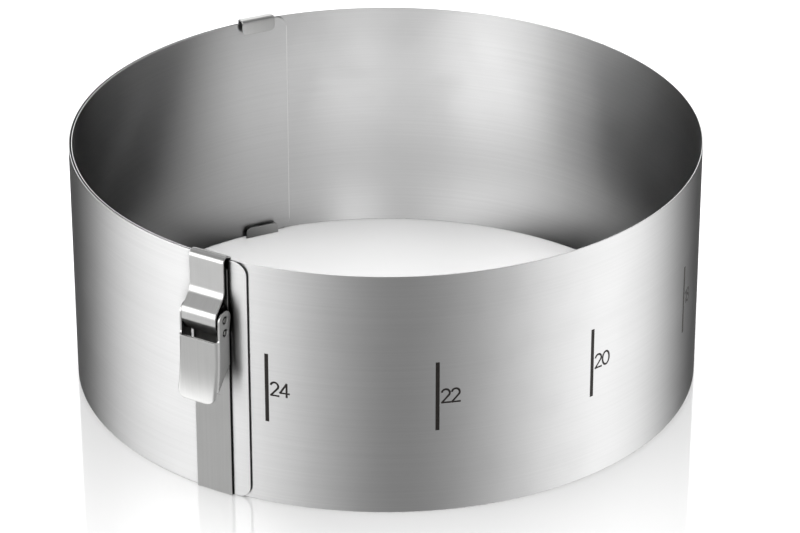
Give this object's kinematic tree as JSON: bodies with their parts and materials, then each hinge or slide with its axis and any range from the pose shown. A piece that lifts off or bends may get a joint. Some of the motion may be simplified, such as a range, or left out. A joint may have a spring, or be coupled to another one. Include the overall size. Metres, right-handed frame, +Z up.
{
  "type": "adjustable cake ring",
  "caption": "Round steel band that overlaps itself to change size, with a printed diameter scale, a lever clamp hooked over its rim and guide clips at the overlap.",
  "frame": {"origin": "middle of the whole ring's footprint, on the plane that its lowest folds rest on", "axes": "+Z up along the ring's axis, -Y towards the lever clamp, +X to the right seen from the clamp"},
  "size_m": [0.2425, 0.255, 0.0999],
  "materials": {
    "band_steel": "satin, brushed along the band",
    "clamp_steel": "satin pressed sheet",
    "pin_steel": "bright cut ends"
  },
  "bodies": {
    "clamp_end": {"band_arc_01": "band_steel", "clamp_rail": "clamp_steel", "pivot_bracket": "clamp_steel", "pivot_pin": "pin_steel"},
    "band_02": {"band_arc_02": "band_steel"},
    "band_03": {"band_arc_03": "band_steel"},
    "band_04": {"band_arc_04": "band_steel"},
    "band_05": {"band_arc_05": "band_steel"},
    "band_06": {"band_arc_06": "band_steel"},
    "band_07": {"band_arc_07": "band_steel"},
    "band_08": {"band_arc_08": "band_steel"},
    "band_09": {"band_arc_09": "band_steel", "upper_guide_clip": "clamp_steel", "lower_guide_clip": "clamp_steel"},
    "band_10": {"band_arc_10": "band_steel"},
    "band_11": {"band_arc_11": "band_steel"},
    "band_12": {"band_arc_12": "band_steel"},
    "band_13": {"band_arc_13": "band_steel"},
    "band_14": {"band_arc_14": "band_steel"},
    "band_15": {"band_arc_15": "band_steel"},
    "band_16": {"band_arc_16": "band_steel"},
    "band_17": {"band_arc_17": "band_steel"},
    "band_18": {"band_arc_18": "band_steel"},
    "band_19": {"band_arc_19": "band_steel"},
    "band_20": {"band_arc_20": "band_steel"},
    "band_21": {"band_arc_21": "band_steel"},
    "band_22": {"band_arc_22": "band_steel"},
    "band_23": {"band_arc_23": "band_steel"},
    "band_24": {"band_arc_24": "band_steel"},
    "band_25": {"band_arc_25": "band_steel"},
    "band_26": {"band_arc_26": "band_steel"},
    "band_27": {"band_arc_27": "band_steel"},
    "band_28": {"band_arc_28": "band_steel"},
    "band_29": {"band_arc_29": "band_steel"},
    "band_30": {"band_arc_30": "band_steel"},
    "band_31": {"band_arc_31": "band_steel"},
    "band_32": {"band_arc_32": "band_steel"},
    "band_33": {"band_arc_33": "band_steel"},
    "lever": {"lever": "clamp_steel", "strap_pin": "pin_steel"},
    "strap": {"strap": "clamp_steel"}
  },
  "joints": [
    {"name": "size_adjust", "type": "hinge", "parent": "clamp_end", "child": "band_02", "pos_m": [-0.01617, -0.11419, 0.0494], "axis": [0, 0, -1], "range_deg": [0, 5.01]},
    {"name": "band_bend_03", "type": "hinge", "parent": "band_02", "child": "band_03", "pos_m": [-0.0464, -0.10596, 0.0494], "axis": [0, 0, -1], "range_deg": [0, 5.02]},
    {"name": "band_bend_04", "type": "hinge", "parent": "band_03", "child": "band_04", "pos_m": [-0.07351, -0.09027, 0.0494], "axis": [0, 0, -1], "range_deg": [0, 5.03]},
    {"name": "band_bend_05", "type": "hinge", "parent": "band_04", "child": "band_05", "pos_m": [-0.09571, -0.06816, 0.0494], "axis": [0, 0, -1], "range_deg": [0, 5.03]},
    {"name": "band_bend_06", "type": "hinge", "parent": "band_05", "child": "band_06", "pos_m": [-0.11151, -0.04111, 0.0494], "axis": [0, 0, -1], "range_deg": [0, 5.04]},
    {"name": "band_bend_07", "type": "hinge", "parent": "band_06", "child": "band_07", "pos_m": [-0.11987, -0.01092, 0.0494], "axis": [0, 0, -1], "range_deg": [0, 5.05]},
    {"name": "band_bend_08", "type": "hinge", "parent": "band_07", "child": "band_08", "pos_m": [-0.12021, 0.02041, 0.0494], "axis": [0, 0, -1], "range_deg": [0, 5.05]},
    {"name": "band_bend_09", "type": "hinge", "parent": "band_08", "child": "band_09", "pos_m": [-0.11251, 0.05078, 0.0494], "axis": [0, 0, -1], "range_deg": [0, 5.06]},
    {"name": "band_bend_10", "type": "hinge", "parent": "band_09", "child": "band_10", "pos_m": [-0.09729, 0.07816, 0.0494], "axis": [0, 0, -1], "range_deg": [0, 5.06]},
    {"name": "band_bend_11", "type": "hinge", "parent": "band_10", "child": "band_11", "pos_m": [-0.07556, 0.10073, 0.0494], "axis": [0, 0, -1], "range_deg": [0, 5.07]},
    {"name": "band_bend_12", "type": "hinge", "parent": "band_11", "child": "band_12", "pos_m": [-0.04878, 0.11697, 0.0494], "axis": [0, 0, -1], "range_deg": [0, 5.08]},
    {"name": "band_bend_13", "type": "hinge", "parent": "band_12", "child": "band_13", "pos_m": [-0.01872, 0.1258, 0.0494], "axis": [0, 0, -1], "range_deg": [0, 5.08]},
    {"name": "band_bend_14", "type": "hinge", "parent": "band_13", "child": "band_14", "pos_m": [0.0126, 0.12662, 0.0494], "axis": [0, 0, -1], "range_deg": [0, 5.09]},
    {"name": "band_bend_15", "type": "hinge", "parent": "band_14", "child": "band_15", "pos_m": [0.04308, 0.11938, 0.0494], "axis": [0, 0, -1], "range_deg": [0, 5.1]},
    {"name": "band_bend_16", "type": "hinge", "parent": "band_15", "child": "band_16", "pos_m": [0.07068, 0.10455, 0.0494], "axis": [0, 0, -1], "range_deg": [0, 5.1]},
    {"name": "band_bend_17", "type": "hinge", "parent": "band_16", "child": "band_17", "pos_m": [0.09354, 0.08313, 0.0494], "axis": [0, 0, -1], "range_deg": [0, 5.11]},
    {"name": "band_bend_18", "type": "hinge", "parent": "band_17", "child": "band_18", "pos_m": [0.11014, 0.05656, 0.0494], "axis": [0, 0, -1], "range_deg": [0, 5.11]},
    {"name": "band_bend_19", "type": "hinge", "parent": "band_18", "child": "band_19", "pos_m": [0.11935, 0.02662, 0.0494], "axis": [0, 0, -1], "range_deg": [0, 5.12]},
    {"name": "band_bend_20", "type": "hinge", "parent": "band_19", "child": "band_20", "pos_m": [0.12055, -0.00468, 0.0494], "axis": [0, 0, -1], "range_deg": [0, 5.13]},
    {"name": "band_bend_21", "type": "hinge", "parent": "band_20", "child": "band_21", "pos_m": [0.11367, -0.03524, 0.0494], "axis": [0, 0, -1], "range_deg": [0, 5.13]},
    {"name": "band_bend_22", "type": "hinge", "parent": "band_21", "child": "band_22", "pos_m": [0.09915, -0.06301, 0.0494], "axis": [0, 0, -1], "range_deg": [0, 5.14]},
    {"name": "band_bend_23", "type": "hinge", "parent": "band_22", "child": "band_23", "pos_m": [0.07799, -0.0861, 0.0494], "axis": [0, 0, -1], "range_deg": [0, 5.15]},
    {"name": "band_bend_24", "type": "hinge", "parent": "band_23", "child": "band_24", "pos_m": [0.05159, -0.10297, 0.0494], "axis": [0, 0, -1], "range_deg": [0, 5.15]},
    {"name": "band_bend_25", "type": "hinge", "parent": "band_24", "child": "band_25", "pos_m": [0.02174, -0.11247, 0.0494], "axis": [0, 0, -1], "range_deg": [0, 5.16]},
    {"name": "band_bend_26", "type": "hinge", "parent": "band_25", "child": "band_26", "pos_m": [-0.00955, -0.11396, 0.0494], "axis": [0, 0, -1], "range_deg": [0, 5.16]},
    {"name": "band_bend_27", "type": "hinge", "parent": "band_26", "child": "band_27", "pos_m": [-0.04017, -0.10735, 0.0494], "axis": [0, 0, -1], "range_deg": [0, 5.17]},
    {"name": "band_bend_28", "type": "hinge", "parent": "band_27", "child": "band_28", "pos_m": [-0.06806, -0.09306, 0.0494], "axis": [0, 0, -1], "range_deg": [0, 5.18]},
    {"name": "band_bend_29", "type": "hinge", "parent": "band_28", "child": "band_29", "pos_m": [-0.09131, -0.07207, 0.0494], "axis": [0, 0, -1], "range_deg": [0, 5.18]},
    {"name": "band_bend_30", "type": "hinge", "parent": "band_29", "child": "band_30", "pos_m": [-0.10837, -0.0458, 0.0494], "axis": [0, 0, -1], "range_deg": [0, 5.19]},
    {"name": "band_bend_31", "type": "hinge", "parent": "band_30", "child": "band_31", "pos_m": [-0.11807, -0.01601, 0.0494], "axis": [0, 0, -1], "range_deg": [0, 5.2]},
    {"name": "band_bend_32", "type": "hinge", "parent": "band_31", "child": "band_32", "pos_m": [-0.11976, 0.01527, 0.0494], "axis": [0, 0, -1], "range_deg": [0, 5.2]},
    {"name": "band_bend_33", "type": "hinge", "parent": "band_32", "child": "band_33", "pos_m": [-0.11331, 0.04593, 0.0494], "axis": [0, 0, -1], "range_deg": [0, 5.98]},
    {"name": "lever_pivot", "type": "hinge", "parent": "clamp_end", "child": "lever", "pos_m": [0.00039, -0.11983, 0.0759], "axis": [-1, 0, 0], "range_deg": [0, 78]},
    {"name": "strap_swing", "type": "hinge", "parent": "lever", "child": "strap", "pos_m": [0.00039, -0.11983, 0.0708], "axis": [-1, 0, 0], "range_deg": [-63.97, 0]}
  ],
  "couplings": [
    {"joint": "band_bend_03", "follows": "size_adjust", "ratio": 1.0012},
    {"joint": "band_bend_04", "follows": "size_adjust", "ratio": 1.0025},
    {"joint": "band_bend_05", "follows": "size_adjust", "ratio": 1.0037},
    {"joint": "band_bend_06", "follows": "size_adjust", "ratio": 1.005},
    {"joint": "band_bend_07", "follows": "size_adjust", "ratio": 1.0063},
    {"joint": "band_bend_08", "follows": "size_adjust", "ratio": 1.0075},
    {"joint": "band_bend_09", "follows": "size_adjust", "ratio": 1.0088},
    {"joint": "band_bend_10", "follows": "size_adjust", "ratio": 1.01},
    {"joint": "band_bend_11", "follows": "size_adjust", "ratio": 1.0113},
    {"joint": "band_bend_12", "follows": "size_adjust", "ratio": 1.0125},
    {"joint": "band_bend_13", "follows": "size_adjust", "ratio": 1.0138},
    {"joint": "band_bend_14", "follows": "size_adjust", "ratio": 1.015},
    {"joint": "band_bend_15", "follows": "size_adjust", "ratio": 1.0163},
    {"joint": "band_bend_16", "follows": "size_adjust", "ratio": 1.0175},
    {"joint": "band_bend_17", "follows": "size_adjust", "ratio": 1.0188},
    {"joint": "band_bend_18", "follows": "size_adjust", "ratio": 1.02},
    {"joint": "band_bend_19", "follows": "size_adjust", "ratio": 1.0213},
    {"joint": "band_bend_20", "follows": "size_adjust", "ratio": 1.0225},
    {"joint": "band_bend_21", "follows": "size_adjust", "ratio": 1.0238},
    {"joint": "band_bend_22", "follows": "size_adjust", "ratio": 1.025},
    {"joint": "band_bend_23", "follows": "size_adjust", "ratio": 1.0263},
    {"joint": "band_bend_24", "follows": "size_adjust", "ratio": 1.0275},
    {"joint": "band_bend_25", "follows": "size_adjust", "ratio": 1.0288},
    {"joint": "band_bend_26", "follows": "size_adjust", "ratio": 1.03},
    {"joint": "band_bend_27", "follows": "size_adjust", "ratio": 1.0313},
    {"joint": "band_bend_28", "follows": "size_adjust", "ratio": 1.0325},
    {"joint": "band_bend_29", "follows": "size_adjust", "ratio": 1.0338},
    {"joint": "band_bend_30", "follows": "size_adjust", "ratio": 1.035},
    {"joint": "band_bend_31", "follows": "size_adjust", "ratio": 1.0363},
    {"joint": "band_bend_32", "follows": "size_adjust", "ratio": 1.0375},
    {"joint": "band_bend_33", "follows": "size_adjust", "ratio": 1.1921},
    {"joint": "strap_swing", "follows": "lever_pivot", "ratio": -0.82}
  ]
}
